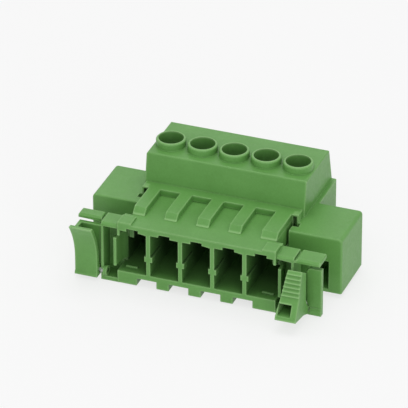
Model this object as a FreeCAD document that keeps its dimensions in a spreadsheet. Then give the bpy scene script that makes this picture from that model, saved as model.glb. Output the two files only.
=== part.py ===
import FreeCAD, Part
import os

import Sketcher

# Pluggable terminal block for a panel cut-out: a header with five chambers in front,
# a terminal housing with five screw chimneys behind it, and a lever latch at each end.
# Millimetres. X runs along the row, Y to the back, Z up. The origin is on the plane
# that the block stands on, under the axis of the middle clamp screw.

POLES = 5

# Driving dimensions: name, value and what it measures
SIZES = [
    ("pitch", 7.62, "from one pole to the next"),
    ("screw_setback", 24.5, "front of the header to the screw axes"),
    ("shell_inset", 0.25, "header collar inside the end of the row"),
    ("rebate_inset", 1.95, "narrow upper header inside the end of the row"),
    ("shell_bottom", 2.06, "underside of the header above the standing plane"),
    ("shell_height", 13.34, "header from underside to top"),
    ("shell_depth", 17.5, "header from front to back"),
    ("collar_depth", 5.0, "wide collar at the front of the header"),
    ("rebate_height", 8.3, "header underside to its side rebate"),
    ("floor_wall", 1.3, "floor of the chambers"),
    ("roof_wall", 1.7, "top wall over the chambers"),
    ("divider", 1.0, "wall between two chambers"),
    ("end_wall", 0.6, "outer wall of the end chambers"),
    ("back_wall", 1.5, "wall that the pins pass through"),
    ("notch_width", 2.7, "keying notch in the top of each chamber"),
    ("notch_rise", 0.7, "height of that notch"),
    ("rib_height", 1.4, "guide rib on the dividers"),
    ("rib_proud", 0.45, "how far that rib stands out"),
    ("rib_rise", 3.46, "chamber floor to the guide rib"),
    ("rib_length", 1.8, "length of the guide rib"),
    ("bead_length", 6.0, "low bead that carries the rib on into the chamber"),
    ("bead_height", 0.7, "height of that bead"),
    ("bead_proud", 0.3, "how far the bead stands out"),
    ("sill_width", 3.7, "sill on the floor of the end chambers"),
    ("sill_rise", 0.35, "height of that sill"),
    ("sill_depth", 0.6, "sill from front to back"),
    ("sill_inset", 2.3, "sill in front of the end of the wide mouths"),
    ("foot_width", 3.0, "foot under each chamber"),
    ("foot_depth", 8.0, "length of those feet"),
    ("foot_shift", 0.4, "feet to the left of the pole axes"),
    ("foot_lift", 0.3, "soles of those feet above the standing plane"),
    ("left_foot_width", 4.65, "wide foot at the left end"),
    ("right_foot_width", 5.45, "wide foot at the right end"),
    ("pad_width", 3.3, "raised pad on each top front corner"),
    ("pad_depth", 3.7, "length of that pad"),
    ("pad_rise", 0.45, "height of that pad"),
    ("frame_reach", 3.85, "end frame beyond the row"),
    ("frame_top", 14.8, "top of the end frames and roofs"),
    ("frame_wall", 0.6, "upright wall of the end frames"),
    ("frame_plate", 1.05, "top and bottom plates of the end frames"),
    ("frame_setback", 0.4, "front edge of those plates behind the header front"),
    ("roof_gap", 0.5, "groove between end frame and roof"),
    ("groove_depth", 0.6, "depth of that groove"),
    ("roof_reach", 9.95, "outer edge of the roofs beyond the row"),
    ("left_roof_setback", 1.9, "front of the left roof behind its end frame's front"),
    ("roof_chamfer", 0.45, "bevel on the front edge of the roofs"),
    ("roof_side_bevel", 0.25, "bevel on the side edges of the roofs"),
    ("tongue_low", 4.1, "underside of the spring tongues"),
    ("tongue_height", 7.3, "height of the spring tongues"),
    ("tongue_wall", 0.75, "thickness of the spring tongues"),
    ("tongue_length", 4.5, "free length of the spring tongues"),
    ("tongue_gap", 1.0, "gap over the spring tongues"),
    ("tongue_bow", 1.15, "outward bow of the spring tongues at the tip"),
    ("shoulder_setback", 11.2, "front of the header to the shoulders"),
    ("shoulder_depth", 14.2, "shoulders from front to back"),
    ("shoulder_left", 10.15, "side of the left shoulder beyond the row"),
    ("shoulder_right", 11.35, "side of the right shoulder beyond the row"),
    ("shoulder_low", 1.1, "underside of the shoulders"),
    ("shoulder_round", 0.9, "rounded upper side edges of the shoulders"),
    ("edge_round", 0.4, "softened outer edges of the housing"),
    ("base_height", 15.0, "top of the housing base and shoulders"),
    ("base_ledge", 1.15, "base beyond the row"),
    ("base_back", 12.4, "screw axes to the back of the base"),
    ("pocket_reach", 8.25, "outer side of the latch pockets beyond the row"),
    ("pocket_low", 1.9, "underside of the latch pockets"),
    ("pocket_height", 7.0, "height of the latch pockets"),
    ("pocket_depth", 9.5, "depth of the latch pockets"),
    ("block_margin", 0.05, "chimney block beyond the row"),
    ("block_top", 23.55, "top of the chimney block"),
    ("block_front", 5.3, "screw axes to the front of the block at its top"),
    ("block_rear", 9.9, "screw axes to the back of the block at its top"),
    ("front_slope", 1.45, "how far the front of the block leans out at its foot"),
    ("rear_slope", 2.4, "how far the back of the block leans out at its foot"),
    ("chimney_rise", 1.75, "chimney rims above the block"),
    ("chimney_radius", 3.45, "outside of the chimneys"),
    ("guide_radius", 2.875, "screwdriver bore of the chimneys"),
    ("head_bore", 2.5, "bore round the screw heads"),
    ("head_room", 0.5, "screw head to the screwdriver bore"),
    ("rim_bevel", 0.3, "bevel on the chimney rims"),
    ("tooth_width", 3.0, "comb teeth over the header"),
    ("tooth_shift", 0.48, "teeth to the left of the pole axes"),
    ("tooth_setback", 5.1, "front of the header to the teeth"),
    ("tooth_height", 1.5, "height of the teeth and their cross-bar"),
    ("bar_depth", 2.9, "cross-bar from front to back"),
    ("bar_end", 0.35, "cross-bar inside the end of the row"),
    ("pit_width", 2.1, "pit beside each end of the cross-bar"),
    ("pit_length", 1.6, "length of that pit"),
    ("pit_depth", 4.0, "depth of that pit"),
    ("slit_width", 0.7, "slit from the pit to the front of the shoulders"),
    ("bar_skin", 0.4, "wall round the open end of the cross-bar"),
    ("seat_play", 0.1, "header in its recess"),
    ("cell_width", 6.2, "clamp cell inside each pole"),
    ("cell_depth", 6.4, "clamp cell from front to back"),
    ("cell_low", 2.4, "floor of the clamp cells"),
    ("cell_height", 14.5, "height of the clamp cells"),
    ("seat_wall", 1.2, "ledge under the screw heads"),
    ("entry_width", 5.0, "wire entry"),
    ("entry_height", 5.0, "height of the wire entry"),
    ("entry_low", 3.4, "underside of the wire entry"),
    ("entry_flare", 0.7, "bevel round the wire entry"),
    ("bar_low", 8.0, "underside of the current bars"),
    ("bar_thick", 1.0, "thickness of the current bars and pins"),
    ("bar_width", 3.6, "width of the current bars"),
    ("bar_tail", 2.9, "current bars behind the screw axes"),
    ("pin_width", 2.0, "width of the contact pins"),
    ("pin_length", 7.0, "pins in front of the back wall"),
    ("pin_taper", 1.2, "tapered tip of the pins"),
    ("slot_play", 0.03, "pins in their slots"),
    ("cage_width", 5.8, "clamp cage across the row"),
    ("cage_depth", 5.2, "clamp cage from front to back"),
    ("cage_low", 2.7, "underside of the open clamp cage"),
    ("cage_floor", 1.0, "floor of the clamp cage"),
    ("cage_room", 7.3, "inside height of the clamp cage"),
    ("cage_top", 1.2, "threaded top of the clamp cage"),
    ("cage_wall", 0.7, "sides of the clamp cage"),
    ("cage_bend", 0.5, "bevelled corners of the clamp cage"),
    ("screw_radius", 1.5, "clamp screw"),
    ("thread_play", 0.06, "screw in the cage thread"),
    ("shank_play", 0.2, "screw in the ledge"),
    ("head_radius", 2.35, "head of the clamp screw"),
    ("head_height", 2.3, "height of the screw head"),
    ("head_bevel", 0.35, "bevel on the screw head"),
    ("slot_width", 0.8, "slot in the screw head"),
    ("slot_depth", 1.1, "depth of that slot"),
    ("tip_bevel", 0.5, "pointed end of the screw"),
    ("screw_play", 0.05, "under the screw head and its tip"),
    ("pin_radius", 0.6, "hinge pins of the latches"),
    ("hinge_play", 0.06, "latch bores round the hinge pins"),
    ("pin_seat", 0.01, "hinge pins in the end frames"),
    ("boss_wall", 0.6, "wall of the hinge bosses"),
    ("boss_length", 0.9, "hinge bosses inside the end frames"),
    ("clip_inner", 4.3, "inner side of the left latch beyond the row"),
    ("clip_width", 5.4, "width of the left latch"),
    ("clip_web", 0.85, "side wall of the left latch"),
    ("clip_leg", 1.1, "thickness of its legs"),
    ("clip_foot", 1.0, "underside of the left latch"),
    ("clip_gap", 0.55, "rear leg to the roof over it"),
    ("clip_lever", 13.8, "height of its front leg"),
    ("clip_flare", 3.5, "forward flare of its front leg"),
    ("clip_front", 0.8, "front of its foot before the header front"),
    ("clip_span", 3.3, "front to back over its foot"),
    ("clip_block", 2.5, "height of its solid foot"),
    ("clip_lip", 0.4, "lip along the foot"),
    ("clip_relief", 1.45, "notch in the side wall in front of the roof"),
    ("grip_inner", 2.2, "inner side of the right latch beyond the row"),
    ("grip_width", 4.9, "width of the right latch lever"),
    ("grip_taper", 1.7, "how much narrower that lever is at its top"),
    ("grip_front", 7.4, "foot of the lever in front of the header"),
    ("grip_low", 3.2, "front foot of the lever above the standing plane"),
    ("knee_rise", 5.1, "foot of the lever to its knee"),
    ("knee_back", 2.5, "how far the knee lies behind the foot"),
    ("crest_rise", 5.8, "knee to the top of the lever"),
    ("crest_back", 1.6, "how far the top lies behind the knee"),
    ("grip_clear", 0.8, "rear of the lever to the end frame"),
    ("grip_slant", 1.8, "slope of the lever's top"),
    ("grip_wall", 0.9, "floor of the hollow in the lever"),
    ("hollow_wall", 1.5, "right wall of that hollow"),
    ("hollow_height", 2.5, "height of that hollow"),
    ("ridge_rise", 0.4, "grip ridges"),
    ("arm_front", 1.7, "arm of the right latch under the lever"),
    ("arm_rise", 3.0, "top of the arm above the foot's bottom"),
    ("heel_back", 3.35, "heel of the right latch behind the header front"),
    ("heel_low", 0.15, "underside of the heel"),
    ("heel_height", 2.0, "height of the heel"),
    ("heel_depth", 1.4, "strip from the heel to the rear tab"),
    ("heel_pin", 1.85, "hinge axis to the back of the heel"),
    ("heel_pin_rise", 1.62, "hinge axis above the underside of the heel"),
    ("tab_inner", 5.75, "inner side of the rear tab beyond the row"),
    ("tab_width", 4.05, "width of the rear tab"),
    ("tab_height", 12.0, "top of the rear tab"),
    ("tab_thick", 1.2, "thickness of the rear tab"),
    ("tab_bevel", 0.6, "bevel on the inner edge of the rear tab"),
    ("tab_cut", 1.05, "slanted inner corners of the rear tab"),
    ("tab_cut_rise", 1.7, "height of those corners"),
]

RIDGES = 6
LEVER_STEPS = 8


class Measure:
    """A length held both as a number and as the sheet formula that gives it."""

    def __init__(self, formula, value):
        self.formula = formula
        self.value = value

    def _join(self, other, sign, value):
        text = other.formula if isinstance(other, Measure) else repr(float(other))
        return Measure("(%s %s %s)" % (self.formula, sign, text), value)

    def __add__(self, other):
        return self._join(other, "+", self.value + number(other))

    def __sub__(self, other):
        return self._join(other, "-", self.value - number(other))

    def __mul__(self, other):
        return self._join(other, "*", self.value * number(other))

    def __truediv__(self, other):
        return self._join(other, "/", self.value / number(other))

    def __neg__(self):
        return self * -1


def number(amount):
    return amount.value if isinstance(amount, Measure) else float(amount)


def make_sheet(doc):
    """Write the driving dimensions to the sheet and return them by name."""
    sheet = doc.addObject("Spreadsheet::Sheet", "dims")
    sizes = {}
    for row, (name, value, note) in enumerate(SIZES, start=1):
        sheet.set("A%d" % row, name)
        sheet.set("B%d" % row, str(value))
        sheet.set("C%d" % row, note)
        sheet.setAlias("B%d" % row, name)
        sizes[name] = Measure("dims." + name, value)
    doc.recompute()
    return sizes


doc = FreeCAD.newDocument("terminal_block")
D = make_sheet(doc)
BODIES = []

ZERO = D["pitch"] * 0
ROW_END = D["pitch"] * (POLES / 2)
FRONT = -D["screw_setback"]
SHELL_BACK = FRONT + D["shell_depth"]
SHELL_TOP = D["shell_bottom"] + D["shell_height"]
SHELL_HALF = ROW_END - D["shell_inset"]
REBATE_HALF = ROW_END - D["rebate_inset"]
REBATE_LEVEL = D["shell_bottom"] + D["rebate_height"]
CHAMBER_FLOOR = D["shell_bottom"] + D["floor_wall"]
CHAMBER_TOP = SHELL_TOP - D["roof_wall"]
CHAMBER_BACK = SHELL_BACK - D["back_wall"]
FRAME_OUT = ROW_END + D["frame_reach"]
FRAME_FRONT = FRONT + D["frame_setback"]
FRAME_BACK = FRONT + D["collar_depth"]
SHOULDER_FRONT = FRONT + D["shoulder_setback"]
SHOULDER_BACK = SHOULDER_FRONT + D["shoulder_depth"]
SHOULDER_LEFT = -(ROW_END + D["shoulder_left"])
SHOULDER_RIGHT = ROW_END + D["shoulder_right"]
BASE_HALF = ROW_END + D["base_ledge"]
RECESS_BACK = SHELL_BACK + D["seat_play"]
CELL_TOP = D["cell_low"] + D["cell_height"]
HEAD_SEAT = CELL_TOP + D["seat_wall"]
HEAD_TOP = HEAD_SEAT + D["screw_play"] + D["head_height"]
RIM = D["block_top"] + D["chimney_rise"]
BAR_TOP = D["bar_low"] + D["bar_thick"]
GUIDE_LOW = HEAD_TOP + D["head_room"]
CLIP_FRONT = FRONT - D["clip_front"]
CLIP_BACK = CLIP_FRONT + D["clip_span"]
CLIP_PIN_Y = CLIP_BACK - D["clip_span"] / 2
CLIP_PIN_Z = D["clip_foot"] + D["clip_block"] / 2
HEEL_BACK = FRONT + D["heel_back"]
HEEL_PIN_Y = HEEL_BACK - D["heel_pin"]
HEEL_PIN_Z = D["heel_low"] + D["heel_pin_rise"]


def pole_x(pole):
    """X of a pole's axis, counted from 0 at the left end of the row."""
    return D["pitch"] * (pole - (POLES - 1) / 2)


def new_body(label):
    body = doc.addObject("PartDesign::Body", "body_" + label)
    body.Label = label
    BODIES.append(body)
    return body


def origin_plane(body, role):
    return next(item for item in body.Origin.OriginFeatures if item.Role == role)


def new_sketch(body, name, plane, level):
    """A sketch on an origin plane, moved along that plane's normal to a level."""
    sketch = body.newObject("Sketcher::SketchObject", name)
    sketch.AttachmentSupport = [(origin_plane(body, plane + "_Plane"), "")]
    sketch.MapMode = "FlatFace"
    offset = -level if plane == "XZ" else level
    sketch.setExpression("AttachmentOffset.Base.z", offset.formula)
    return sketch


def bind(sketch, kind, first, amount):
    """Constrain a point or curve and tie the constraint to the sheet."""
    index = sketch.addConstraint(Sketcher.Constraint(kind, *first, number(amount)))
    sketch.setExpression("Constraints[%d]" % index, amount.formula)


def draw_loop(sketch, points):
    """Add a closed outline whose corners are fixed by measures from the origin."""
    start = sketch.GeometryCount
    count = len(points)
    corners = [FreeCAD.Vector(number(u), number(v), 0) for u, v in points]
    for index in range(count):
        line = Part.LineSegment(corners[index], corners[(index + 1) % count])
        sketch.addGeometry(line, False)
    for index in range(count):
        after = start + (index + 1) % count
        sketch.addConstraint(Sketcher.Constraint("Coincident", start + index, 2, after, 1))
    for index, (u, v) in enumerate(points):
        bind(sketch, "DistanceX", (-1, 1, start + index, 1), u)
        bind(sketch, "DistanceY", (-1, 1, start + index, 1), v)


def draw_circle(sketch, centre, radius):
    middle = FreeCAD.Vector(number(centre[0]), number(centre[1]), 0)
    index = sketch.addGeometry(Part.Circle(middle, FreeCAD.Vector(0, 0, 1), number(radius)), False)
    bind(sketch, "DistanceX", (-1, 1, index, 3), centre[0])
    bind(sketch, "DistanceY", (-1, 1, index, 3), centre[1])
    bind(sketch, "Radius", (index,), radius)


def box_outline(left, right, low, high):
    return [(left, low), (right, low), (right, high), (left, high)]


def extrude(body, kind, name, plane, span, loops=(), circles=()):
    """Pad or pocket the given outlines between the two levels of span."""
    low, high = span
    from_high = (kind == "Pocket") != (plane == "XZ")
    sketch = new_sketch(body, name + "_sketch", plane, high if from_high else low)
    for loop in loops:
        draw_loop(sketch, loop)
    for centre, radius in circles:
        draw_circle(sketch, centre, radius)
    feature = body.newObject("PartDesign::" + kind, name)
    feature.Profile = sketch
    feature.setExpression("Length", (high - low).formula)
    sketch.Visibility = False
    return feature


def pad(body, name, plane, span, *loops, circles=()):
    return extrude(body, "Pad", name, plane, span, loops, circles)


def pocket(body, name, plane, span, *loops, circles=()):
    return extrude(body, "Pocket", name, plane, span, loops, circles)


def edges_at(body, **where):
    """Names of straight edges of the last feature that lie wholly at given x, y or z values."""
    found = []
    for index, edge in enumerate(body.Tip.Shape.Edges, start=1):
        ends = [vertex.Point for vertex in edge.Vertexes]
        if len(ends) < 2:
            continue
        if all(abs(getattr(end, axis) - number(value)) < 0.01
               for axis, value in where.items() for end in ends):
            found.append("Edge%d" % index)
    return found


def circles_at(body, level):
    """Names of the round edges of the last feature that lie at a height."""
    found = []
    for index, edge in enumerate(body.Tip.Shape.Edges, start=1):
        if len(edge.Vertexes) == 1 and abs(edge.BoundBox.ZMin - number(level)) < 0.01:
            if edge.BoundBox.ZLength < 0.01:
                found.append("Edge%d" % index)
    return found


def dress(body, kind, name, edge_names, amount):
    """Round or bevel the named edges of the body's last feature."""
    base = body.Tip
    feature = body.newObject("PartDesign::" + kind, name)
    feature.Base = (base, edge_names)
    feature.setExpression("Radius" if kind == "Fillet" else "Size", amount.formula)
    return feature


def move_along_row(body, pole):
    body.setExpression("Placement.Base.x", pole_x(pole).formula)


def both_sides(inner, outer):
    """The spans of X between two distances from the middle, left and right."""
    return [(-outer, -inner), (inner, outer)]


def chamber_outline(pole):
    """Cross-section of a chamber, with its keying notch on top."""
    centre = pole_x(pole)
    half = (D["pitch"] - D["divider"]) / 2
    notch = D["notch_width"] / 2
    notch_top = CHAMBER_TOP + D["notch_rise"]
    notch_points = [(centre + notch, CHAMBER_TOP), (centre + notch, notch_top),
                    (centre - notch, notch_top), (centre - notch, CHAMBER_TOP)]

    def wall(side):
        face = centre + half * side
        if side * (pole - (POLES - 1) / 2) == (POLES - 1) / 2:
            outer = (SHELL_HALF - D["end_wall"]) * side
            upper = (REBATE_HALF - D["end_wall"]) * side
            step = REBATE_LEVEL - D["end_wall"]
            return [(outer, CHAMBER_FLOOR), (outer, step), (upper, step), (upper, CHAMBER_TOP)]
        return [(face, CHAMBER_FLOOR), (face, CHAMBER_TOP)]

    return wall(1) + notch_points + wall(-1)[::-1]


def foot_spans():
    """Spans of X of the feet: narrow ones in the middle, wide ones at the ends."""
    half = D["foot_width"] / 2
    inner = [(pole_x(pole) - D["foot_shift"] - half, pole_x(pole) - D["foot_shift"] + half)
             for pole in range(1, POLES - 1)]
    return inner + [(-SHELL_HALF, -SHELL_HALF + D["left_foot_width"]),
                    (SHELL_HALF - D["right_foot_width"], SHELL_HALF)]


def frame_outline(side):
    """Cross-section of an end frame: top plate, upright wall and bottom plate."""
    top, plate = D["frame_top"], D["frame_plate"]
    inner_wall = FRAME_OUT - D["frame_wall"]
    root = SHELL_HALF - D["end_wall"] / 2
    points = [(root, top), (FRAME_OUT, top), (FRAME_OUT, ZERO), (root, ZERO),
              (root, plate), (inner_wall, plate), (inner_wall, top - plate), (root, top - plate)]
    return [(x * side, z) for x, z in points]


def roof_outline(side):
    """Cross-section of a roof, with the groove that marks it off from the frame."""
    top, low = D["frame_top"], D["frame_top"] - D["frame_plate"]
    inner = FRAME_OUT - D["frame_wall"] / 2
    lip = FRAME_OUT + D["roof_gap"]
    outer = ROW_END + D["roof_reach"]
    groove = top - D["groove_depth"]
    points = [(inner, low), (inner, groove), (lip, groove), (lip, top), (outer, top), (outer, low)]
    return [(x * side, z) for x, z in points]


def tongue_outline(side):
    """Plan of a spring tongue: it leaves the header wall and bows outwards."""
    root_in = SHELL_HALF - D["tongue_wall"]
    tip = FRAME_FRONT
    bends = [(0.0, 0.0), (0.16, 0.5), (0.32, 0.75), (0.6, 0.92), (1.0, 1.0)]
    root_y = tip + D["tongue_length"]
    inner = [(root_in + D["tongue_bow"] * out, root_y - D["tongue_length"] * along)
             for along, out in bends]
    outer = [(x + D["tongue_wall"], y) for x, y in inner[::-1]]
    behind = root_y + D["tongue_wall"]
    points = [(root_in, behind)] + inner + outer + [(SHELL_HALF, behind)]
    return [(x * side, y) for x, y in points]


def build_header_shell():
    """Front moulding: chambers, feet, end frames, roofs and spring tongues."""
    body = new_body("header_shell")
    half, inner = SHELL_HALF, REBATE_HALF
    collar = box_outline(-half, half, D["shell_bottom"], SHELL_TOP)
    pad(body, "collar", "XZ", (FRONT, FRAME_BACK), collar)
    section = [(-half, D["shell_bottom"]), (half, D["shell_bottom"]), (half, REBATE_LEVEL),
               (inner, REBATE_LEVEL), (inner, SHELL_TOP), (-inner, SHELL_TOP),
               (-inner, REBATE_LEVEL), (-half, REBATE_LEVEL)]
    pad(body, "sleeve", "XZ", (FRONT, SHELL_BACK), section)
    pads = [box_outline(left, right, FRONT, FRONT + D["pad_depth"])
            for left, right in both_sides(half - D["pad_width"], half)]
    pad(body, "corner_pads", "XY", (SHELL_TOP - D["pad_rise"], SHELL_TOP + D["pad_rise"]), *pads)
    feet = [box_outline(left, right, FRONT, FRONT + D["foot_depth"]) for left, right in foot_spans()]
    pad(body, "feet", "XY", (D["foot_lift"], CHAMBER_FLOOR - D["floor_wall"] / 2), *feet)
    frames = [frame_outline(side) for side in (-1, 1)]
    pad(body, "end_frames", "XZ", (FRAME_FRONT, FRAME_BACK), *frames)
    flanges = [box_outline(left, right, ZERO, D["frame_top"])
               for left, right in both_sides(half - D["end_wall"] / 2, FRAME_OUT)]
    pad(body, "end_flanges", "XZ", (FRAME_BACK - D["frame_wall"], FRAME_BACK), *flanges)
    left_front = FRAME_FRONT + D["left_roof_setback"]
    pad(body, "roof_left", "XZ", (left_front, FRAME_BACK), roof_outline(-1))
    pad(body, "roof_right", "XZ", (FRAME_FRONT, FRAME_BACK), roof_outline(1))
    doc.recompute()
    dress(body, "Chamfer", "roof_bevels",
          [name for y in (FRAME_FRONT, left_front) for name in edges_at(body, y=y, z=D["frame_top"])],
          D["roof_chamfer"])
    doc.recompute()
    sides = [x * side for x in (FRAME_OUT + D["roof_gap"], ROW_END + D["roof_reach"]) for side in (-1, 1)]
    dress(body, "Chamfer", "roof_side_bevels",
          [name for x in sides for name in edges_at(body, x=x, z=D["frame_top"])], D["roof_side_bevel"])
    for pole in range(POLES):
        pocket(body, "chamber_%d" % (pole + 1), "XZ", (FRONT, CHAMBER_BACK), chamber_outline(pole))
    reach = ROW_END - D["pitch"] + D["divider"] / 2
    mouths = [box_outline(left, right, CHAMBER_FLOOR, CHAMBER_TOP)
              for left, right in both_sides(reach, half - D["end_wall"])]
    pocket(body, "wide_mouths", "XZ", (FRONT, FRAME_BACK - D["end_wall"]), *mouths)
    rib_low = CHAMBER_FLOOR + D["rib_rise"]
    rib_half = D["divider"] / 2 + D["rib_proud"]
    ribs = [box_outline(pole_x(pole + 0.5) - rib_half, pole_x(pole + 0.5) + rib_half,
                        rib_low, rib_low + D["rib_height"]) for pole in range(POLES - 1)]
    pad(body, "guide_ribs", "XZ", (FRONT, FRONT + D["rib_length"]), *ribs)
    bead_half = D["divider"] / 2 + D["bead_proud"]
    bead_top = rib_low + D["rib_height"] - D["bead_proud"] / 3
    beads = [box_outline(pole_x(pole + 0.5) - bead_half, pole_x(pole + 0.5) + bead_half,
                         bead_top - D["bead_height"], bead_top) for pole in range(POLES - 1)]
    pad(body, "guide_beads", "XZ", (FRONT, FRONT + D["bead_length"]), *beads)
    sill_out = half - D["end_wall"] / 2
    sills = [box_outline(left, right, CHAMBER_FLOOR - D["floor_wall"] / 2, CHAMBER_FLOOR + D["sill_rise"])
             for left, right in both_sides(sill_out - D["sill_width"], sill_out)]
    sill_front = FRAME_BACK - D["end_wall"] - D["sill_inset"]
    pad(body, "sills", "XZ", (sill_front, sill_front + D["sill_depth"]), *sills)
    gaps = [box_outline(left, right, FRONT, FRAME_FRONT + D["tongue_length"])
            for left, right in both_sides(half - D["end_wall"] * 2, half + D["end_wall"] / 4)]
    pocket(body, "side_gaps", "XY",
           (CHAMBER_FLOOR, D["tongue_low"] + D["tongue_height"] + D["tongue_gap"]), *gaps)
    tongues = [tongue_outline(side) for side in (-1, 1)]
    pad(body, "tongues", "XY", (D["tongue_low"], D["tongue_low"] + D["tongue_height"]), *tongues)
    slots = [box_outline(pole_x(pole) - PIN_SLOT_HALF, pole_x(pole) + PIN_SLOT_HALF,
                         D["bar_low"] - D["slot_play"], BAR_TOP + D["slot_play"])
             for pole in range(POLES)]
    pocket(body, "pin_slots", "XZ", (CHAMBER_BACK, SHELL_BACK), *slots)
    wall_in = FRAME_OUT - D["frame_wall"]
    boss = D["pin_radius"] + D["boss_wall"]
    bore = D["pin_radius"] + D["pin_seat"]
    pins = [(-1, CLIP_PIN_Y, CLIP_PIN_Z), (1, HEEL_PIN_Y, HEEL_PIN_Z)]
    for side, y, z in pins:
        name = "left" if side < 0 else "right"
        ends = sorted([wall_in * side, (wall_in - D["boss_length"]) * side], key=number)
        pad(body, "boss_" + name, "YZ", tuple(ends), circles=[((y, z), boss)])
        ends = sorted([FRAME_OUT * side, (wall_in - D["boss_length"]) * side], key=number)
        pocket(body, "pin_bore_" + name, "YZ", tuple(ends), circles=[((y, z), bore)])
    return body


PIN_SLOT_HALF = D["pin_width"] / 2 + D["slot_play"]


def tooth_outline():
    """Side view of a comb tooth, bevelled at its front end."""
    start = FRONT + D["tooth_setback"]
    low, high = SHELL_TOP, SHELL_TOP + D["tooth_height"]
    end = BAR_FRONT + D["bar_depth"] / 4
    return [(start, low), (start + D["tooth_height"], high), (end, high), (end, low)]


def tooth_spans():
    """Spans of X of the teeth; the outermost ones reach the edge of the rebate."""
    half = D["tooth_width"] / 2
    spans = [(pole_x(pole) - D["tooth_shift"] - half, pole_x(pole) - D["tooth_shift"] + half)
             for pole in range(POLES)]
    spans[0] = (-REBATE_HALF, spans[0][1])
    spans[-1] = (spans[-1][0], REBATE_HALF)
    return spans


BAR_FRONT = -(D["block_front"] + D["front_slope"]) + D["block_margin"] * 7 - D["bar_depth"]


def block_outline():
    """Side view of the chimney block: both long faces lean outwards to the foot."""
    foot = D["base_height"] - D["tooth_height"] / 2
    return [(-(D["block_front"] + D["front_slope"]), foot), (D["block_rear"] + D["rear_slope"], foot),
            (D["block_rear"], D["block_top"]), (-D["block_front"], D["block_top"])]


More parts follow.
